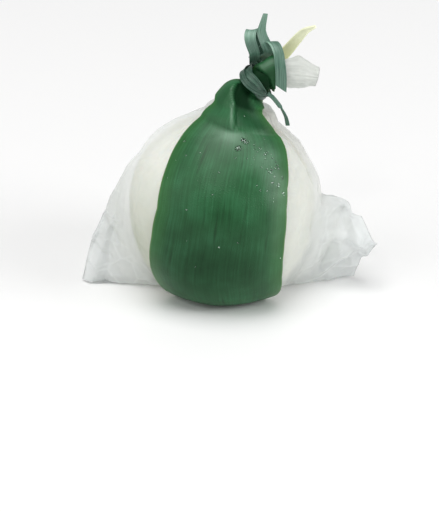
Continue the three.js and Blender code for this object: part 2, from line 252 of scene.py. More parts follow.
def section(level):  # centre, axis and radius of the bag at a level
    s = bagShape
    if level <= 1:
        top = math.asin((s["shoulderZ"] - s["ballCentreZ"]) / s["ballRise"])
        latitude = mix(-math.pi / 2, top, max(level, 0))
        height = s["ballCentreZ"] - s["foot"] if latitude < 0 else s["ballRise"]
        inner = s["footRadius"] if latitude < 0 else 0
        centre = Vector((0, 0, s["ballCentreZ"] + height * math.sin(latitude)))
        return centre, Vector((0, 0, 1)), inner + (s["ballRadius"] - inner) * math.cos(latitude)
    if level <= 2:
        t = level - 1
        flare, power, tentEnd = s["tent"]
        shoulder = Vector((0, 0, s["shoulderZ"]))
        spine = [shoulder, shoulder + s["crownPull"], s["tie"] - s["neckStraight"] * neckAxis, s["tie"]]
        centre = bezier(spine, t)
        rise = (centre.z - s["ballCentreZ"]) / s["ballRise"]
        ball = s["ballRadius"] * math.sqrt(max(0, 1 - rise ** 2))
        cone = (s["neckRadius"] + flare * max(0, 1 - t / tentEnd) ** power) * ease(t, 0.15, 0.55)
        early = s["shoulderLean"] * ease(t, 0.1, 0.6)
        late = (1 - s["shoulderLean"]) * ease(t, 0.6, tentEnd)
        tilt = s["neckLean"] * (early + late)
        blend = s["tentBlend"]
        radius = (ball ** blend + cone ** blend) ** (1 / blend)
        return centre, Vector((math.sin(tilt), 0, math.cos(tilt))), radius
    t = min(level - 2, 1)
    spine = [s["tie"], s["tie"] + s["neckStraight"] * neckAxis, s["tailEnd"] + s["tailPull"], s["tailEnd"]]
    way = (bezier(spine, min(t + 0.01, 1)) - bezier(spine, t - 0.01)).normalized()
    swell = (s["tailRadius"] - s["neckRadius"]) * ease(t, 0.2, 0.6)
    close = (s["tailRadius"] - s["tailEndRadius"]) * ease(t, 0.75, 1)
    return bezier(spine, t), way, s["neckRadius"] + swell - close


def ringPoint(centre, axis, radius, angle):
    side = Vector((0, 1, 0)).cross(axis).normalized()
    back = axis.cross(side)
    return centre + side * (radius * math.cos(angle)) + back * (radius * math.sin(angle))


def roundPoint(level, angle, radius=None):  # a point on the round of the bag, or at a radius of its own
    centre, axis, own = section(level)
    return ringPoint(centre, axis, own if radius is None else radius, angle)


def roundNormal(level, angle):
    upward = roundPoint(level + 0.01, angle) - roundPoint(max(level - 0.01, 0), angle)
    around = roundPoint(level, angle + 0.01) - roundPoint(level, angle - 0.01)
    return around.cross(upward).normalized()


def neckRelief(level, angle):  # how far the neck stands out just below the ribbon, less its front hollow
    depth, middle, halfWidth = bagShape["hollow"]
    raised = alongPoints(bagShape["leftCollar"], level) * ((1 - math.cos(angle)) / 2) ** 2
    swell = ease(level, 1.2, 1.5) * (1 - ease(level, 1.77, 1.88))
    raised += bagShape["rightCollar"] * swell * ((1 + math.cos(angle)) / 2) ** 2
    sunk = ease(level, 1.5, 1.66) * (1 - ease(level, 1.82, 1.92))
    return raised - depth * sunk * bump(math.degrees(angle) + 90, middle, halfWidth)


cheeseBall = {
    "centre": Vector((-1.2, 0, 38.6)),
    "halfWide": 41,
    "foot": 17.5,  # mm, half width of the flat it sags onto
    "footZ": 1.9,  # it stands on film and leaf
    "halfLow": 37.2,  # from the centre down to where the foot would be
    "halfHigh": 41,  # and up to the crown
    "lump": 0.5,  # mm, how uneven the ball is
    "fineLump": 0.12,
}

filmBag = {
    "columns": 360,
    "rows": 236,
    "stations": [(0, -0.2), (0.015, 0), (0.4, 1), (0.78, 2), (0.94, 3), (1, 3.4)],  # share of the rows, level
    "gatherDepth": 1.4,  # mm, of the folds that run out from the neck
    "gatherRates": (3.4, 8),  # of the wide and the fine ones: more makes them narrower
    "clingDepth": 0.45,  # mm, of the wrinkles over the cheese
    "clingSize": (9, 14),  # mm, across and up
    "billow": 1,  # mm, the soft unevenness of the slack corners
    "crumple": (1.4, 2.6),  # mm that the flat facets of a corner stand out, at the left and at the right
    "facetSize": 11,  # mm
    "leftCreases": [  # x and height at both ends in mm, then the lift in mm and the half width
        ((-45, 56), (-53, 2), 1.6, 2.6), ((-47, 40), (-59, 2), -1.8, 3), ((-52, 34), (-62, 6), 1.4, 2.2),
        ((-44, 30), (-63, 14), 0.9, 3), ((-46, 12), (-60, 20), -0.8, 2.4), ((-54, 36), (-47, 32), -1.6, 1.4),
        ((-53, 31), (-46, 22), 1.6, 1.5), ((-60, 19), (-51, 14), 1.4, 1.3),
    ],
    "rightCreases": [
        ((43, 12), (52, 34), 3.4, 4), ((44, 8), (61, 26), -3.8, 4.5), ((46, 6), (68, 20), 3.4, 3.6),
        ((47, 40), (60, 12), 2.6, 4), ((43, 26), (64, 24), -2.4, 3.4), ((55, 34), (66, 8), -2, 3),
    ],
    "slackDepth": 1.3,  # mm that the film sinks right of the crease that runs down from the neck
    "slackEdge": [  # level, and degrees from the front, of that crease
        (0.9, 72), (1.14, 69), (1.23, 72), (1.33, 76), (1.42, 72), (1.5, 60), (1.6, 46),
    ],
    "tailCrease": 0.06,  # share of the radius
    "tailFold": 1.1,  # mm, of the long folds of the tail
    "tailFacet": (0.7, 4),  # mm, height and size of the small facets between them
    "tailPeak": (1.8, 2.68, 0.07),  # mm, level and half width of the fold that stands up on the tail
    "mouth": (0.4, 4, 0.75),  # its rolled end: levels, depth in mm, and how far it closes
    "milkiness": (0.46, 0.66),  # where wet cheese touches it, and where it hangs clear
    "gatheredMilk": (0.25, 0.3),  # more of it at the neck, and on the tail
    "creaseMilk": 0.1,
}


def sideAngle(u):  # the columns bunch up at both sides, where the corners run out
    even = 2 * math.pi * u - math.pi
    return even - 0.4 * math.sin(2 * even)


def cornerShare(away):
    rest = math.exp(-bagShape["cornerEnd"] / bagShape["cornerSpread"])
    return max(0, (math.exp(-away / bagShape["cornerSpread"]) - rest) / (1 - rest))


def creaseLift(point, creases):  # straight sharp creases across the flat of a corner
    lift = 0
    for (x1, z1), (x2, z2), height, halfWidth in creases:
        length = math.hypot(x2 - x1, z2 - z1)
        away = abs((point.x - x1) * (z2 - z1) - (point.z - z1) * (x2 - x1)) / length
        along = ((point.x - x1) * (x2 - x1) + (point.z - z1) * (z2 - z1)) / length ** 2
        lift += height * max(0, 1 - away / halfWidth) * ease(along, -0.3, 0) * (1 - ease(along, 1, 1.3))
    return lift


def pastCrease(level, angle):  # 1 on the slack band right of the crease that runs down from the neck
    off = math.degrees(angle) + 90 - alongPoints(filmBag["slackEdge"], level)
    return ease(off, 0, 2.5) * (1 - ease(off, 25, 70)) * ease(level, 0.85, 1.1)


def tailRelief(level, angle, radius):
    b = filmBag
    x, y = math.cos(angle), math.sin(angle)
    long = ridges(Vector((1.3 * x + 3, 1.3 * y, 0.9 * level)))
    crease = b["tailCrease"] * math.cos(3 * angle + 6 * level) * radius
    height, size = b["tailFacet"]
    small = height * facets(Vector((radius * x / size, radius * y / size, 6 * level)))
    rise, middle, halfWidth = b["tailPeak"]
    peak = rise * bump(level, middle, halfWidth) * ((1 - x) / 2) ** 6
    return (b["tailFold"] * (1 - long) - crease - small - peak) * ease(level, 2.1, 2.4)


def filmRelief(level, angle, radius, z):  # gathers at the neck, wrinkles over the cheese, tail creases
    b = filmBag
    x, y = math.cos(angle), math.sin(angle)
    pleats = bagShape["pleatDepth"] * ease(level, 1.3, 1.9) * math.cos(bagShape["pleatCount"] * angle)
    pleats *= radius * (1 - 0.8 * ease(level, 2.1, 2.35))
    neck = ease(level, 0.9, 1.45) * (1 - ease(level, 1.75, 2) * 0.7)
    slow, fast = b["gatherRates"]
    wide = ridges(Vector((slow * x, slow * y, 0.5 * level)))
    fine = ridges(Vector((fast * x, fast * y, 1.1 * level + 7)))
    folds = b["gatherDepth"] * neck * (1 - 0.65 * wide - 0.35 * fine)
    across, up = b["clingSize"]
    small = ridges(Vector((radius * x / across, radius * y / across, z / up)))
    cling = b["clingDepth"] * (1 - small * ease(level, 0.1, 0.4) * (1 - ease(level, 1, 1.4)))
    folds += b["slackDepth"] * pastCrease(level, angle) * (1 - ease(level, 1.5, 1.75))
    tail = tailRelief(level, angle, radius) if level > 2.1 else 0
    return pleats + neckRelief(level, angle) - folds - cling - tail


def cornerRelief(point, slack, creases):  # to front and back, on the flat of a slack corner
    b = filmBag
    soft = noise.noise(Vector((point.x / 8, 1, point.z / 20)))
    soft += 0.4 * noise.noise(Vector((point.x / 4, 3, point.z / 7)))
    at = Vector((point.x, 0, point.z)) / b["facetSize"]
    crumple = b["crumple"][1 if point.x > 0 else 0] * (facets(at) + 0.3 * facets(at * 2.6) - 0.4)
    return ease(slack, 0, 6) * (creaseLift(point, creases) + b["billow"] * soft + crumple)


def filmPlace(u, v):
    s = bagShape
    level = alongPoints(filmBag["stations"], v)
    angle = sideAngle(u)
    centre, axis, radius = section(min(max(level, 0), 3))
    if level < 0:  # the foot closes to a point on the leaf
        share = 1 + level / 0.2
        return Vector((radius * share * math.cos(angle), radius * share * math.sin(angle), s["foot"] + 0.02))
    mouthLevels, mouthDepth, mouthClose = filmBag["mouth"]
    if level >= 3 + mouthLevels - 0.01:
        return centre - axis * mouthDepth
    z = centre.z
    out = radius + filmRelief(level, angle, radius, z)
    turned, slack, creases = angle, 0, None
    if level < 2:
        left = max(alongPoints(s["leftCorner"], z) - radius, 0)
        right = max(alongPoints(s["rightCorner"], z) - radius, 0) if z < s["rightCornerTop"] else 0
        sides = (
            (math.pi, left, -s["cornerSway"][0] * math.sin(z / 13), "leftCreases"),
            (0, right, s["cornerSway"][1] * math.sin(z / 6 + 1), "rightCreases"),
        )
        for edge, reach, lean, name in sides:
            share = cornerShare(abs(math.atan2(math.sin(angle - edge), math.cos(angle - edge))))
            out += reach * share
            if reach > 0:
                turned += lean * share
            if reach * share > slack:
                slack, creases = reach * share, filmBag[name]
    if level > 3:  # the mouth of the tail rolls in
        share = (level - 3) / mouthLevels
        out *= 1 - mouthClose * share ** 1.5
        centre = centre - axis * (mouthDepth * share * (1 + 0.5 * math.sin(5 * angle)))
    point = ringPoint(centre, axis, out, turned)
    if creases:
        point.y += cornerRelief(point, slack, creases)
    return point


def standOff(point):  # mm from the cheese out to a point, along the way from its centre
    c = cheeseBall
    way = point - c["centre"]
    if way.z < 0:
        low = math.sqrt(max(1 - (way.z / c["halfLow"]) ** 2, 0))
        return math.hypot(way.x, way.y) - mix(c["foot"], c["halfWide"], low)
    share = math.sqrt((way.x ** 2 + way.y ** 2) / c["halfWide"] ** 2 + (way.z / c["halfHigh"]) ** 2)
    return way.length * (1 - 1 / share)


def milkAt(point):  # clear where wet cheese touches the film, milky where layers gather
    b = filmBag
    off = standOff(point) + 1.4 * noise.noise(point / 9)
    atNeck, onTail = b["gatheredMilk"]
    gathered = ease(point.z, 74, 92) * atNeck + ease(point.x, 16, 24) * ease(point.z, 86, 92) * onTail
    at = Vector((point.x, 0, point.z)) / b["facetSize"]
    crease = (1 - ease(facets(at), 0, 0.1)) * ease(off, 3, 7) * (point.z < 70)
    touching, free = b["milkiness"]
    return mix(touching, free, ease(off, 1.2, 5)) + gathered + b["creaseMilk"] * crease


film = flatSheet("film_bag_skin", filmBag["columns"], filmBag["rows"])
slackShade = pointValue(film, "slackShade")  # 1 on the slack band right of the neck's crease, where shade is painted into the film's colour
for vertex in film.data.vertices:
    u, v = sheetPlace(vertex)
    level = alongPoints(filmBag["stations"], v)
    share = pastCrease(level, sideAngle(u)) if level < 2 else 0
    slackShade[vertex.index].value = share * (1 - 0.5 * ease(level, 1.4, 1))
bendSheet(film, filmPlace)
closeUp(film, 0.004)
milk = pointValue(film, "milkiness")
for vertex in film.data.vertices:
    milk[vertex.index].value = milkAt(vertex.co / mm)
print("film bag", len(film.data.vertices), "points")

clearSelection()
bpy.ops.mesh.primitive_uv_sphere_add(segments=128, ring_count=80, radius=mm)
cheese = bpy.context.active_object
cheese.name = cheese.data.name = "cheese_ball"
for vertex in cheese.data.vertices:
    c = cheeseBall
    way = vertex.co.normalized()
    uneven = noise.noise(way * 2.2) * c["lump"] + noise.noise(way * 6) * c["fineLump"]
    tall, flat = (c["halfHigh"], 0) if way.z > 0 else (c["halfLow"], c["foot"])
    wide = math.hypot(way.x, way.y)
    spread = mix(flat, c["halfWide"], wide) / wide if wide > 0.001 else 0
    place = Vector((way.x * spread, way.y * spread, way.z * tall))
    place += way * (uneven - 0.5 * c["lump"]) + c["centre"]
    place.z = max(place.z, c["footZ"])  # it settles on a flat foot
    vertex.co = place * mm
closeUp(cheese)
print("cheese ball", len(cheese.data.vertices), "points")


leafShape = {
    "columns": 80,
    "rows": 400,
    "underFrom": 0.44,  # share of the length where it turns under the ball
    "underTo": 0.54,  # and where it comes up again at the back
    "tipFrom": 0.9,  # and where its tip starts
    "thickness": 0.8,
    "rounded": 0.22,  # mm, of its edges
    "gap": 0.35,  # mm, from the bag
    "overFilm": 0.15,  # mm more of it on the neck, where the film is gathered
    "cutX": 22,  # where its front end is cut off
    "cutFlare": 1.5,  # mm that the cut end opens past the tie
    "cutTilt": 0.06,
    "wave": 0.35,  # mm, half of how far it lifts off the film
    "ridge": (2.5, 34, 7),  # mm, and how far it runs out at the left and at the right in degrees
    "ridgeRun": [(1.48, -6), (1.6, -18), (1.67, -27), (1.73, -45), (1.8, -68)],  # level, degrees
    "bulges": [(-58, 2.6, 24), (20, 2, 22)],  # of the end past the tie: degrees, mm, half width in degrees
    "crestHighlight": 0.4,  # how pale the ridge's painted highlight is
    "lee": [  # level, and how much shade is painted right of the ridge
        (1.5, 0), (1.54, 0.45), (1.63, 0.55), (1.68, 1), (1.84, 1.1), (1.9, 0.6),
    ],
    "tones": [  # level, degrees, half sizes in both, then above 0 painted sheen, below 0 painted shade
        (1.9, -60, 0.07, 80, -0.8), (1.43, -8, 0.06, 22, 0.45), (1.3, 30, 0.12, 16, 0.35),
        (1.02, 36, 0.16, 9, 0.5), (0.72, 30, 0.2, 8, 0.4), (0.6, -12, 0.34, 50, -0.62),
        (1.62, -62, 0.1, 18, -0.2),
    ],
    "rollTones": (-0.85, -0.45),  # painted shade of the gap below the rolled cut end, and of its shaded side
    "rollLight": (0.75, -52, 14, -0.4),  # of its lit side: amount, degrees, half width, and the rest
    "frontEdges": [  # height, and degrees of the left and the right edge from straight ahead
        (1, -58, 48), (18, -53, 38), (27, -49, 36), (37, -45, 36), (50, -42.5, 38), (58, -44.5, 42),
        (65, -49.5, 47), (72, -55, 54), (77, -61, 58), (80, -63, 54), (83.5, -62, 46), (85, -67, 42),
        (86, -84, 40), (88.3, -90, 44), (90, -98, 56), (92, -98, 70), (96, -88, 70), (100, -85, 48),
    ],
    "backEdges": [  # and from straight behind
        (1, -48, 48), (20, -36, 34), (40, -31, 31), (60, -26, 30), (74, -14, 32), (84, -10, 36),
        (92, -30, 44),
    ],
    "backRows": [(0.54, 0), (0.88, 2), (0.9, 2.13)],  # share of the length, level
    "tipRoute": [
        (22.6, 9.6, 102.4), (26.1, 9.8, 105.4), (32.3, 8.4, 113.6), (35.2, 7, 117), (39.2, 5, 119.7),
    ],
    "tipHalfWidths": [(0, 3.9), (0.4, 2.2), (0.75, 1.35), (1, 0.3)],
    "tipTrough": 0.3,  # depth of its trough, as a share of its half width
}


def rollRim(turn):  # level where the rolled cut end folds open above a dark gap
    return 2.18 + 0.002 * (turn + 58)


def leafTurn(z, u, edges):  # degrees from straight ahead or behind, at a share of the leaf's width
    low = alongPoints([(height, left) for height, left, right in edges], z)
    return mix(low, alongPoints([(height, right) for height, left, right in edges], z), u)


def leafPoint(level, across, front):  # a point on the leaf's inner face
    f = leafShape
    turn = leafTurn(section(level)[0].z, (1 + across) / 2, f["frontEdges"] if front else f["backEdges"])
    angle = math.radians(turn - 90 if front else 90 - turn)
    height, left, right = f["ridge"]
    folded = ease(level, 1.44, 1.56) * (1 - ease(level, 1.74, 1.85)) if front else 0
    away = turn - alongPoints(f["ridgeRun"], level)
    ridge = height * folded * (math.exp(away / left) if away < 0 else max(0, 1 - away / right))
    flare = ease(level, 2.2, 2.35)
    bulge = sum(rise * bump(turn, at, half) for at, rise, half in f["bulges"]) if front else 0
    rim = rollRim(turn)
    bulge *= ease(level, rim - 0.03, rim + 0.01) * (1 - ease(level, 2.28, 2.44))
    wave = f["wave"] * (1 + math.sin(5 * across + 9 * level)) * ease(level, 0.05, 0.3)
    squeeze = 1 - ease(level, 1.66, 1.83)
    over = (bagShape["pleatDepth"] * section(level)[2] + f["overFilm"]) * ease(level, 1.1, 1.7)
    inner = f["gap"] + over + ridge + bulge + wave * squeeze + f["cutFlare"] * flare
    upright = level - f["cutTilt"] * math.cos(angle) * flare  # the cut stands upright
    foot = roundPoint(upright, angle, section(upright)[2] + neckRelief(level, angle))
    return foot + roundNormal(upright, angle) * inner


cutLevel = 2
while section(cutLevel)[0].x < leafShape["cutX"]:
    cutLevel += 0.005
frontRows = [(0, cutLevel), (0.05, 2.1), (0.16, 1.5), (leafShape["underFrom"], 0)]  # share, level

tipStart = [leafPoint(leafShape["backRows"][-1][1], across, False) for across in (-1, 0, 1)]
tipWide = (tipStart[2] - tipStart[0]).normalized()
tipRoute = [tipStart[1]] + [Vector(p) for p in leafShape["tipRoute"]]


def tipPoint(s, across):
    way = routeWay(tipRoute, s)
    wide = (tipWide - way * tipWide.dot(way)).normalized()
    out = way.cross(wide).normalized()
    half = alongPoints(leafShape["tipHalfWidths"], s)
    trough = leafShape["tipTrough"] * half * (1 - across ** 2) - leafShape["thickness"] / 2
    return routePoint(tipRoute, s) + wide * (across * half) + out * trough


def leafPlace(u, v):
    f = leafShape
    across = 2 * u - 1
    if v < f["underFrom"]:
        return leafPoint(alongPoints(frontRows, v), across, True)
    if v < f["underTo"]:
        share = (v - f["underFrom"]) / (f["underTo"] - f["underFrom"])
        return leafPoint(0, across, True).lerp(leafPoint(0, across, False), share)
    if v < f["tipFrom"]:
        return leafPoint(alongPoints(f["backRows"], v), across, False)
    return tipPoint(mix(0.1, 1, (v - f["tipFrom"]) / (1 - f["tipFrom"])), across)


def rollTone(level, turn):  # from the dark gap to the lit fold and the shaded one of the cut end
    gap, shaded = leafShape["rollTones"]
    amount, middle, halfWidth, rest = leafShape["rollLight"]
    lit = amount * bump(turn, middle, halfWidth) + rest
    past = ease(level, rollRim(turn) - 0.015, rollRim(turn) + 0.015)
    return mix(gap, mix(lit, shaded, ease(turn, -32, -16)), past) * ease(level, 2.04, 2.08)


def leafTone(u, v):  # below 0 where shade is painted in, above 0 where sheen is painted pale
    f = leafShape
    if v > f["underFrom"]:
        return 0
    level = alongPoints(frontRows, v)
    turn = leafTurn(section(level)[0].z, u, f["frontEdges"])
    tone = 0
    for at, degrees, high, wide, amount in f["tones"]:
        tone += amount * bump(level, at, high) * bump(turn, degrees, wide)
    off = turn - alongPoints(f["ridgeRun"], level)
    # painted highlight along the ridge's crest
    crest = bump(off, -0.6, 1.1) * ease(level, 1.48, 1.54) * (1 - ease(level, 1.76, 1.8))
    # painted shade right of the ridge, below the tie
    if level < 2:
        tone -= alongPoints(f["lee"], level) * ease(off, 0, 3) * (1 - ease(off, 40, 90))
    return tone + f["crestHighlight"] * crest + rollTone(level, turn)


leaf = flatSheet("leaf_blade", leafShape["columns"], leafShape["rows"])
tones = pointValue(leaf, "tone")
for vertex in leaf.data.vertices:
    tones[vertex.index].value = leafTone(*sheetPlace(vertex))
bendSheet(leaf, leafPlace)
thicken(leaf, leafShape["thickness"], -1, leafShape["rounded"])
pick(leaf)
bpy.ops.object.shade_smooth_by_angle(angle=math.radians(50))
print("leaf", len(leaf.data.vertices), "points")


ribbonShape = {  # mm, where a note says nothing else
    "thickness": 0.4,
    "ribs": 7,  # across its width
    "ribHeight": 0.03,
    "cup": 0.25,  # how far the edges curl
    "turns": 3,  # of the band round the neck
    "wrapWidth": 4.3,
    "wrapThickness": 0.3,
    "wrapRadius": 6.95,
    "wrapStep": 0.32,  # each turn lies further out by this
    "wrapStart": 2.2,  # radians
    "wrapSwing": 2.1,  # how far the turns wander along the neck and cross each other
    "wrapRise": 0.0245,  # levels to a millimetre along the neck
    "wrapRib": 0.02,
    "wrapEdge": 0.3,  # how far its edges stand up
    "knot": Vector((13, 4.8, 102.9)),
    "knotHalves": (2.1, 2.2, 1.8),
    "loop": [
        (13, 1.4, 106.6), (12.9, -1.5, 110.1), (11.3, -2.5, 115.2), (10.9, -1.8, 118.3), (11.9, 1, 119.7),
        (13.6, 3.8, 116.5), (14.3, 5.2, 110.5), (12.6, 5, 104.6),
    ],
    "upright": [
        (15, 4.6, 105.2), (18.4, 1.6, 107.8), (19.2, -0.6, 110.6), (17.7, -0.6, 114), (16, 0.8, 118),
        (16.2, 1.8, 121), (17.6, 2.5, 126.8),
    ],
    "hanging": [
        (14.6, 4, 107.6), (17.6, 2.4, 111.8), (20, -0.2, 114.8), (21.9, -3.2, 114.4), (23.2, -6.2, 111.8),
        (23.9, -8.7, 107.2), (24.3, -9.3, 102), (24.2, -9.3, 94.8),
    ],
    "strand": [
        (18.6, -5.6, 93), (20.9, -6.4, 91.4), (23.8, -7, 87.8), (24.6, -7.2, 86.4), (26.4, -8, 82.9),
        (27.3, -8.5, 79.1),
    ],
}


def strip(name, route, wide, widths, columns=42, rows=120, cup=None, slant=0, twist=(),
          shadeAlong=((0, 0), (1, 0)), rim=None):
    # Widths in mm, twist in degrees and painted shade are lists over the length. Shade is 1 where the
    # ribbon is painted dark, below 0 where it is painted pale as light. Rim is where along it one edge
    # has a painted highlight.
    r = ribbonShape
    points = [Vector(p) for p in route]
    cup = r["cup"] if cup is None else cup

    def place(u, v):
        s = v * (1 - slant * (1 - u))  # a slanted end is cut shorter on one side
        way = routeWay(points, s)
        side = (Vector(wide) - way * Vector(wide).dot(way)).normalized()
        out = way.cross(side).normalized()
        turn = math.radians(alongPoints(twist, s)) if twist else 0
        side, out = side * math.cos(turn) + out * math.sin(turn), out * math.cos(turn) - side * math.sin(turn)
        across = 2 * u - 1
        lift = r["ribHeight"] * math.cos(2 * math.pi * r["ribs"] * u) - cup * across ** 2
        return routePoint(points, s) + side * (across * alongPoints(widths, s) / 2) + out * lift

    made = flatSheet(name, columns, rows)
    paintedShade = pointValue(made, "paintedShade")
    for vertex in made.data.vertices:
        u, v = sheetPlace(vertex)
        # painted highlight along one edge
        lit = 2.6 * bump(u, 0.04, 0.09) * bump(v, *rim) if rim else 0
        paintedShade[vertex.index].value = alongPoints(shadeAlong, v) - lit
    bendSheet(made, place)
    thicken(made, r["thickness"], 0)
    return made


knotStart = ribbonShape["knot"]
ribbonParts = [
    strip(
        "ribbon_loop", [knotStart] + ribbonShape["loop"], (1, 0, 0.1), [(0, 4.6), (0.5, 4.9), (1, 4.6)],
        shadeAlong=[(0, 0.3), (0.35, 0.15), (0.48, -0.75), (0.6, -0.4), (0.7, 0.5), (1, 0.6)],
    ),
    strip(
        "ribbon_upright", [knotStart] + ribbonShape["upright"], (1, 0.2, -0.3),
        [(0, 4.4), (0.5, 4.7), (0.75, 4.2), (1, 2)], slant=0.005,
        shadeAlong=[(0, 0.6), (0.12, -0.5), (0.35, -0.5), (0.5, 0.1), (1, -0.6)],
    ),
    strip(
        "ribbon_hanging", [knotStart] + ribbonShape["hanging"], (1, 0.1, 0),
        [(0, 4.4), (0.5, 4.4), (1, 4.9)], slant=0.06, rim=(0.48, 0.14),
    ),
    strip(
        "ribbon_strand", ribbonShape["strand"], (0.8, 0.4, 0.4),
        [(0, 1.8), (0.45, 1.8), (0.54, 1.1), (0.6, 2.3), (1, 2.1)], columns=14, cup=0.1,
        twist=[(0, 0), (0.48, 0), (0.58, 90), (1, 60)],
    ),
]


def windingPlace(u, v):  # the crossing turns round the neck
    r = ribbonShape
    turn = 2 * math.pi * r["turns"] * v
    across = 2 * u - 1
    offset = r["wrapSwing"] * math.sin(turn / 3 * 4 + 0.6) + across * r["wrapWidth"] / 2
    rib = r["wrapRib"] * math.cos(2 * math.pi * r["ribs"] * u) + r["wrapEdge"] * across ** 6
    out = r["wrapRadius"] + r["wrapStep"] * r["turns"] * v + rib
    return roundPoint(2 + r["wrapRise"] * offset, -turn + r["wrapStart"], out)


winding = flatSheet("ribbon_winding", 44, 260)
bendSheet(winding, windingPlace)
thicken(winding, ribbonShape["wrapThickness"], 0)

clearSelection()
bpy.ops.mesh.primitive_uv_sphere_add(segments=48, ring_count=32, radius=mm)
knot = bpy.context.active_object
knot.name = "ribbon_knot"
halfX, halfY, halfZ = ribbonShape["knotHalves"]
for vertex in knot.data.vertices:
    p = vertex.co / mm
    fold = 0.12 * math.sin(9 * p.y + 4 * p.x) + 0.25 * noise.noise(p * 1.6)
    q = Vector((p.x * halfX, p.y * halfY, p.z * halfZ)) * (1 + fold * 0.6)
    upX, upZ = q.x * neckAxis.z - q.z * neckAxis.x, q.x * neckAxis.x + q.z * neckAxis.z
    vertex.co = (Vector((upX, q.y, upZ)) + knotStart) * mm

# the band round the neck and the knot are painted dark as shade
for part in (winding, knot):
    for paintedShade in pointValue(part, "paintedShade"):
        paintedShade.value = 1

ribbon = joinUp(ribbonParts + [winding, knot], "ribbon_tie")
bpy.ops.object.transform_apply(location=True, rotation=True, scale=True)
bpy.ops.object.shade_smooth_by_angle(angle=math.radians(50))
print("ribbon", len(ribbon.data.vertices), "points")


waterDrops = {
    "seed": 4,
    "groups": [  # level, degrees from the front, how far they spread in both, count, largest radius in mm
        (1.408, 7, 0.006, 1.2, 3, 1.3),
        (1.39, 10.5, 0.006, 1, 2, 1.1),
        (1.352, 4, 0.005, 1.2, 2, 1.3),
        (1.33, 19, 0.05, 8, 20, 0.35),
        (1.28, 30, 0.06, 6, 8, 0.45),
        (1.15, 34, 0.09, 5, 14, 0.6),
        (1, 34, 0.09, 5, 10, 0.55),
        (1.2, 12, 0.14, 14, 10, 0.4),
        (1.2, -40, 0.1, 8, 8, 0.4),
        (0.92, -24, 0.1, 10, 5, 0.4),
        (0.8, 10, 0.12, 18, 5, 0.4),
    ],
    "smallest": 0.3,  # share of the largest radius
    "height": (0.45, 0.65),  # shares of the radius, from the flattest to the tallest
    "stretch": (0.85, 1.3),
    "smooth": 0.45,  # mm, radius from which a drop has more faces
    "above": 0.03,  # mm, off the leaf
}

random.seed(waterDrops["seed"])
drops = []
for level, degrees, spreadLevel, spreadDegrees, count, largest in waterDrops["groups"]:
    for repeat in range(count):
        at = random.gauss(level, spreadLevel)
        angle = math.radians(random.gauss(degrees, spreadDegrees) - 90)
        away = roundNormal(at, angle)
        hit, spot, normal = leaf.ray_cast((roundPoint(at, angle) + away * 15) * mm, -away)[:3]
        radius = largest * random.uniform(waterDrops["smallest"], 1) * mm
        if not hit:
            continue
        clearSelection()
        faces = 3 if radius > waterDrops["smooth"] * mm else 2
        bpy.ops.mesh.primitive_ico_sphere_add(subdivisions=faces, radius=radius)
        drop = bpy.context.active_object
        turn = normal.to_track_quat("Z", "Y")
        tall, wide = random.uniform(*waterDrops["height"]), random.uniform(*waterDrops["stretch"])
        for vertex in drop.data.vertices:
            p = vertex.co
            p = Vector((p.x * wide, p.y, max(p.z, -0.1 * radius) * tall))  # flat below
            vertex.co = spot + normal * waterDrops["above"] * mm + turn @ p
        drops.append(drop)
dropCount = len(drops)
water = joinUp(drops, "water_drops")
bpy.ops.object.shade_smooth()
print("water drops", dropCount)


filmLook = {
    "sheet": [(0.3, "#f1f5f5"), (0.7, "#fafcfb")],
    "packed": "#e6e8e2",  # where it is gathered tight
    # painted shade of the slack band right of the neck
    "slackShade": "#b9b5a4",
    "through": "#fafdfd",  # light that comes through it
}


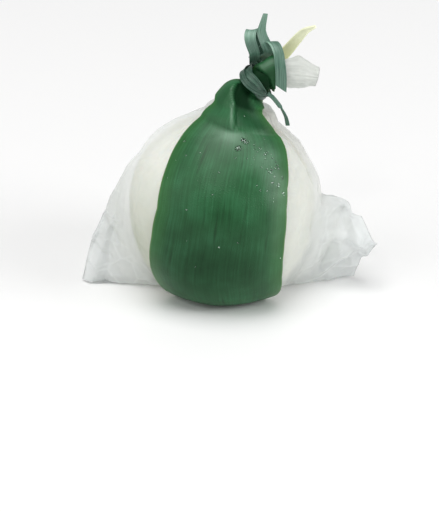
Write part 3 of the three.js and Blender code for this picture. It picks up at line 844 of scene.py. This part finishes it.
def makeFilm():  # blown polyethylene film, thin and milky: satin highlights, and what is behind shows pale
    material, tree = newMaterial("milky_film")
    colours = {"data_type": "RGBA"}
    place = node(tree, "ShaderNodeTexCoord").outputs["Object"]
    haze = node(tree, "ShaderNodeTexNoise", Vector=place, Scale=60, Detail=3).outputs["Fac"]  # 17 mm patches
    fine = node(tree, "ShaderNodeTexNoise", Vector=place, Scale=500, Detail=4).outputs["Fac"]  # 2 mm wrinkles
    bent = node(tree, "ShaderNodeTexNoise", Vector=place, Scale=90, Detail=2).outputs["Color"]  # 11 mm waves
    bent = node(tree, "ShaderNodeVectorMath", {"operation": "SCALE"}, Vector=bent, Scale=0.012).outputs[0]
    bent = node(tree, "ShaderNodeVectorMath", {"operation": "ADD"}, i0=place, i1=bent).outputs[0]
    facet = node(tree, "ShaderNodeTexVoronoi", {"feature": "DISTANCE_TO_EDGE"}, Vector=bent,
                 Scale=130).outputs["Distance"]  # facets 8 mm wide
    facet = node(tree, "ShaderNodeBump", Strength=0.35, Distance=0.0012, Height=facet).outputs["Normal"]
    crinkle = node(tree, "ShaderNodeBump", Strength=0.3, Distance=0.0003, Height=fine,
                   Normal=facet).outputs["Normal"]
    colour = node(tree, "ShaderNodeValToRGB", stops=filmLook["sheet"], Fac=haze).outputs["Color"]
    milkiness = node(tree, "ShaderNodeAttribute", {"attribute_name": "milkiness"}).outputs["Fac"]
    packed = node(tree, "ShaderNodeMapRange", Value=milkiness, From_Min=0.74, From_Max=1).outputs["Result"]
    colour = node(tree, "ShaderNodeMix", colours, Factor=packed, i6=colour,
                  i7=linear(filmLook["packed"])).outputs[2]
    # painted shade: the film is greyer on the slack band right of the neck
    slackShadeShare = node(tree, "ShaderNodeAttribute", {"attribute_name": "slackShade"}).outputs["Fac"]
    slackShadeShare = node(tree, "ShaderNodeMath", {"operation": "MULTIPLY"}, i0=slackShadeShare, i1=0.7).outputs[0]
    colour = node(tree, "ShaderNodeMix", colours, Factor=slackShadeShare, i6=colour,
                  i7=linear(filmLook["slackShade"])).outputs[2]
    skin = node(tree, "ShaderNodeBsdfPrincipled", Base_Color=colour, Roughness=0.2, Normal=crinkle)
    glow = node(tree, "ShaderNodeBsdfTranslucent", Color=linear(filmLook["through"]), Normal=crinkle)
    body = node(tree, "ShaderNodeMixShader", i0=0.4, i1=skin.outputs[0], i2=glow.outputs[0])
    clear = node(tree, "ShaderNodeBsdfTransparent", Color=(1, 1, 1, 1))
    cloud = node(tree, "ShaderNodeMapRange", Value=haze, To_Min=-0.1, To_Max=0.1).outputs["Result"]
    share = node(tree, "ShaderNodeMath", {"operation": "ADD", "use_clamp": True}, i0=milkiness,
                 i1=cloud).outputs[0]
    whole = node(tree, "ShaderNodeMixShader", i0=share, i1=clear.outputs[0], i2=body.outputs[0])
    node(tree, "ShaderNodeOutputMaterial", Surface=whole.outputs[0])
    return material


curdLook = {
    "skin": [(0.3, "#f2f1e4"), (0.7, "#f7f7ee")],
    # painted shade low down at the left of the ball
    "footShade": "#b4b99c",
}


def makeCheese():  # fresh stretched curd: a wet, smooth, cream white skin that lets light in a little way
    material, tree = newMaterial("fresh_curd")
    place = node(tree, "ShaderNodeTexCoord").outputs["Object"]
    cloud = node(tree, "ShaderNodeTexNoise", Vector=place, Scale=50, Detail=4).outputs["Fac"]  # 20 mm clouds
    stretched = node(tree, "ShaderNodeMapping", Vector=place, Scale=(400, 400, 60)).outputs[0]  # 2.5 x 17 mm
    fibre = node(tree, "ShaderNodeTexNoise", Vector=stretched, Scale=1, Detail=3).outputs["Fac"]
    grain = node(tree, "ShaderNodeBump", Strength=0.3, Distance=0.0003, Height=fibre).outputs["Normal"]
    colour = node(tree, "ShaderNodeValToRGB", stops=curdLook["skin"], Fac=cloud).outputs["Color"]
    spot = node(tree, "ShaderNodeSeparateXYZ", Vector=place)
    low = node(tree, "ShaderNodeMapRange", Value=spot.outputs["Z"], From_Min=0.066, From_Max=0.026)
    side = node(tree, "ShaderNodeMapRange", Value=spot.outputs["X"], From_Min=-0.01, From_Max=-0.03,
                To_Min=0.25)
    footShade = node(tree, "ShaderNodeMath", {"operation": "MULTIPLY"}, i0=low.outputs["Result"],
                i1=side.outputs["Result"]).outputs[0]  # painted shade, darker and greener low down at the left
    colour = node(tree, "ShaderNodeMix", {"data_type": "RGBA"}, Factor=footShade, i6=colour,
                  i7=linear(curdLook["footShade"])).outputs[2]
    skin = node(tree, "ShaderNodeBsdfPrincipled", Base_Color=colour, Roughness=0.35, Normal=grain,
                Subsurface_Weight=0.3, Subsurface_Radius=(0.004, 0.003, 0.002), Subsurface_Scale=1)
    node(tree, "ShaderNodeOutputMaterial", Surface=skin.outputs[0])
    return material


leafLook = {
    "blade": [(0.32, "#1a4d29"), (0.5, "#265f37"), (0.68, "#34734a")],
    "streak": "#15401f",
    # painted shade
    "shade": "#0c2313",
    # painted sheen
    "paintedSheen": "#a9c6b2",
    "side": "#3a7330",
    "rim": "#7f9c62",
    "tip": [(0.92, "#dcdf9f"), (0.96, "#fbfedc")],  # it has grown out of the light
}


def makeLeaf():  # fresh blade of a leaf: waxy cuticle with a soft shine over fine parallel veins
    material, tree = newMaterial("waxy_leaf")
    colours, numbers = {"data_type": "RGBA"}, {"data_type": "FLOAT"}
    sheet = node(tree, "ShaderNodeTexCoord").outputs["UV"]  # 60 mm across and 340 mm along
    place = node(tree, "ShaderNodeTexCoord").outputs["Object"]
    spot = node(tree, "ShaderNodeSeparateXYZ", Vector=sheet)
    veinPlace = node(tree, "ShaderNodeMapping", Vector=sheet, Scale=(70, 14, 1)).outputs[0]  # 0.9 x 24 mm
    vein = node(tree, "ShaderNodeTexNoise", Vector=veinPlace, Scale=1, Detail=3,
                Roughness=0.55).outputs["Fac"]
    cloud = node(tree, "ShaderNodeTexNoise", Vector=place, Scale=90, Detail=5).outputs["Fac"]  # 11 mm spots
    shade = node(tree, "ShaderNodeMix", numbers, Factor=0.55, i2=vein, i3=cloud).outputs[0]
    colour = node(tree, "ShaderNodeValToRGB", stops=leafLook["blade"], Fac=shade).outputs["Color"]
    streakPlace = node(tree, "ShaderNodeMapping", Vector=sheet, Scale=(30, 16, 1)).outputs[0]  # 2 x 21 mm
    streak = node(tree, "ShaderNodeTexNoise", Vector=streakPlace, Scale=1, Detail=2).outputs["Fac"]
    streak = node(tree, "ShaderNodeMapRange", Value=streak, From_Min=0.61, From_Max=0.73,
                  To_Max=0.65).outputs["Result"]
    colour = node(tree, "ShaderNodeMix", colours, Factor=streak, i6=colour,
                  i7=linear(leafLook["streak"])).outputs[2]
    # painted light and shade: below 0 the leaf is darkened as shade, above 0 paled as sheen
    tone = node(tree, "ShaderNodeAttribute", {"attribute_name": "tone"}).outputs["Fac"]
    dark = node(tree, "ShaderNodeMapRange", Value=tone, From_Min=0, From_Max=-1, To_Max=0.9)
    colour = node(tree, "ShaderNodeMix", colours, Factor=dark.outputs["Result"], i6=colour,
                  i7=linear(leafLook["shade"])).outputs[2]
    paintedSheen = node(tree, "ShaderNodeMath", {"operation": "MULTIPLY"}, i0=tone, i1=cloud).outputs[0]
    colour = node(tree, "ShaderNodeMix", {"data_type": "RGBA", "clamp_factor": True}, Factor=paintedSheen,
                  i6=colour, i7=linear(leafLook["paintedSheen"])).outputs[2]
    off = node(tree, "ShaderNodeMath", {"operation": "SUBTRACT"}, i0=spot.outputs["X"], i1=0.5).outputs[0]
    off = node(tree, "ShaderNodeMath", {"operation": "ABSOLUTE"}, i0=off).outputs[0]
    side = node(tree, "ShaderNodeMapRange", Value=off, From_Min=0.36, From_Max=0.5, To_Max=0.45)
    colour = node(tree, "ShaderNodeMix", colours, Factor=side.outputs["Result"], i6=colour,
                  i7=linear(leafLook["side"])).outputs[2]
    rim = node(tree, "ShaderNodeMapRange", Value=off, From_Min=0.484, From_Max=0.5, To_Max=0.35)
    edged = node(tree, "ShaderNodeMix", colours, Factor=rim.outputs["Result"], i6=colour,
                 i7=linear(leafLook["rim"])).outputs[2]
    beads = node(tree, "ShaderNodeTexVoronoi", Vector=place, Scale=1100).outputs["Distance"]  # 0.9 mm mist
    misted = node(tree, "ShaderNodeTexNoise", Vector=place, Scale=70, Detail=2).outputs["Fac"]  # 14 mm areas
    misted = node(tree, "ShaderNodeMapRange", Value=misted, From_Min=0.48, From_Max=0.62).outputs["Result"]
    bead = node(tree, "ShaderNodeMapRange", Value=beads, From_Min=0.1, From_Max=0.45, To_Min=1, To_Max=0)
    bead = node(tree, "ShaderNodeMath", {"operation": "MULTIPLY"}, i0=bead.outputs["Result"],
                i1=misted).outputs[0]
    tip = node(tree, "ShaderNodeMapRange", Value=spot.outputs["Y"], From_Min=0.885, From_Max=0.93)
    young = node(tree, "ShaderNodeValToRGB", stops=leafLook["tip"], Fac=spot.outputs["Y"]).outputs["Color"]
    pale = node(tree, "ShaderNodeMix", colours, Factor=tip.outputs["Result"], i6=edged, i7=young).outputs[2]
    veined = node(tree, "ShaderNodeBump", Strength=0.25, Distance=0.00015, Height=vein).outputs["Normal"]
    beaded = node(tree, "ShaderNodeBump", Strength=0.35, Distance=0.0002, Height=bead,
                  Normal=veined).outputs["Normal"]
    shine = node(tree, "ShaderNodeMapRange", Value=tone, From_Min=-1, From_Max=0, To_Min=0.02,
                 To_Max=0.35).outputs["Result"]  # less of it where shade is painted
    skin = node(tree, "ShaderNodeBsdfPrincipled", Base_Color=pale, Roughness=0.42, Normal=beaded,
                Specular_IOR_Level=shine)
    node(tree, "ShaderNodeOutputMaterial", Surface=skin.outputs[0])
    return material


ribbonLook = {
    "plain": [(0.3, "#37584a"), (0.5, "#527664"), (0.7, "#76998a")],
    # painted shade
    "paintedShaded": [(0.35, "#18352a"), (0.5, "#345545"), (0.65, "#577968")],
    # painted light
    "paintedLit": [(0.3, "#759a84"), (0.7, "#9cc0ae")],
}


def makeRibbon():  # ribbed polypropylene gift ribbon: satin, with fine lines along its length
    material, tree = newMaterial("ribbed_ribbon")
    colours = {"data_type": "RGBA"}
    sheet = node(tree, "ShaderNodeTexCoord").outputs["UV"]
    linePlace = node(tree, "ShaderNodeMapping", Vector=sheet, Scale=(30, 3, 1)).outputs[0]  # 0.15 mm lines
    line = node(tree, "ShaderNodeTexNoise", Vector=linePlace, Scale=1, Detail=3).outputs["Fac"]
    plain = node(tree, "ShaderNodeValToRGB", stops=ribbonLook["plain"], Fac=line).outputs["Color"]
    paintedShaded = node(tree, "ShaderNodeValToRGB", stops=ribbonLook["paintedShaded"], Fac=line).outputs["Color"]
    paintedLit = node(tree, "ShaderNodeValToRGB", stops=ribbonLook["paintedLit"], Fac=line).outputs["Color"]
    # painted shade darkens the ribbon, and below 0 painted light makes it pale
    paintedShade = node(tree, "ShaderNodeAttribute", {"attribute_name": "paintedShade"}).outputs["Fac"]
    colour = node(tree, "ShaderNodeMix", colours, Factor=paintedShade, i6=plain, i7=paintedShaded).outputs[2]
    litShare = node(tree, "ShaderNodeMath", {"operation": "MULTIPLY"}, i0=paintedShade, i1=-1).outputs[0]
    colour = node(tree, "ShaderNodeMix", colours, Factor=litShare, i6=colour, i7=paintedLit).outputs[2]
    lined = node(tree, "ShaderNodeBump", Strength=0.4, Distance=0.0001, Height=line).outputs["Normal"]
    skin = node(tree, "ShaderNodeBsdfPrincipled", Base_Color=colour, Roughness=0.32, Normal=lined)
    node(tree, "ShaderNodeOutputMaterial", Surface=skin.outputs[0])
    return material


waterLook = {
    "body": "#ebf5ee",
    "shine": "#dcefe4",
    "shineShare": 0.09,  # more of it makes the drops whiter
}


def makeWater():  # clear water beads: bright glints and dark rims, with the leaf showing through
    material, tree = newMaterial("water")
    body = node(tree, "ShaderNodeBsdfPrincipled", Base_Color=linear(waterLook["body"]), Roughness=0.02,
                IOR=1.33, Transmission_Weight=1)
    shine = node(tree, "ShaderNodeBsdfAnisotropic", Color=linear(waterLook["shine"]), Roughness=0.08)
    whole = node(tree, "ShaderNodeMixShader", i0=waterLook["shineShare"], i1=body.outputs[0],
                 i2=shine.outputs[0])
    node(tree, "ShaderNodeOutputMaterial", Surface=whole.outputs[0])
    return material


finishPiece(film, makeFilm(), ["film_bag"])
finishPiece(cheese, makeCheese(), nodes=["film_bag"])
finishPiece(leaf, makeLeaf(), ["leaf"])
finishPiece(ribbon, makeRibbon(), ["tie_ribbon"])
finishPiece(water, makeWater())
print("materials")


clearSelection()
bpy.ops.mesh.primitive_plane_add(size=6)
floor = bpy.context.active_object
floor.name = "floor"
floorPaint, tree = newMaterial("pale_floor")
paint = node(tree, "ShaderNodeBsdfPrincipled", Base_Color=linear("#fefefe"), Roughness=0.7)
node(tree, "ShaderNodeOutputMaterial", Surface=paint.outputs[0])
floor.data.materials.append(floorPaint)

studio = {  # place in metres, size, power and colour of each softbox, all aimed at the ball
    "top": ((-0.2, -0.4, 2.2), 1.6, 29, "#ffffff"),
    "left": ((-1.8, -0.8, 1), 1.6, 10, "#fffefc"),
    "right": ((1.56, -0.74, 1), 1, 13, "#ffffff"),
    "sparkle": ((-0.6, -1.8, 1.8), 0.2, 3, "#ffffff"),
}
airLight = 0.3  # strength of the even light from all round

scene = bpy.context.scene
scene.view_settings.view_transform = "Standard"
world = bpy.data.worlds.new("studio")
scene.world = world
world.use_nodes = True
world.node_tree.nodes["Background"].inputs["Color"].default_value = (1, 1, 1, 1)
world.node_tree.nodes["Background"].inputs["Strength"].default_value = airLight
for name, (place, size, power, colour) in studio.items():
    clearSelection()
    bpy.ops.object.light_add(type="AREA", location=place)
    lamp = bpy.context.active_object
    lamp.name = "softbox_" + name
    lamp.rotation_euler = (Vector((0, 0, 0.05)) - Vector(place)).to_track_quat("-Z", "Y").to_euler()
    lamp.data.size = size
    lamp.data.energy = power
    lamp.data.color = linear(colour)[:3]

cameraSetup = {  # mm and degrees
    "target": Vector((-2.2, -10.4, 17.7)),
    "distance": 1500,
    "elevation": 25,
    "lens": 239.7,
}
up = math.radians(cameraSetup["elevation"])
bpy.ops.object.camera_add()
camera = bpy.context.active_object
back = Vector((0, -math.cos(up), math.sin(up)))
camera.location = (cameraSetup["target"] + cameraSetup["distance"] * back) * mm
camera.rotation_euler = (math.pi / 2 - up, 0, 0)
camera.data.lens = cameraSetup["lens"]
camera.data.clip_end = 20
scene.camera = camera
print("floor, light and camera")
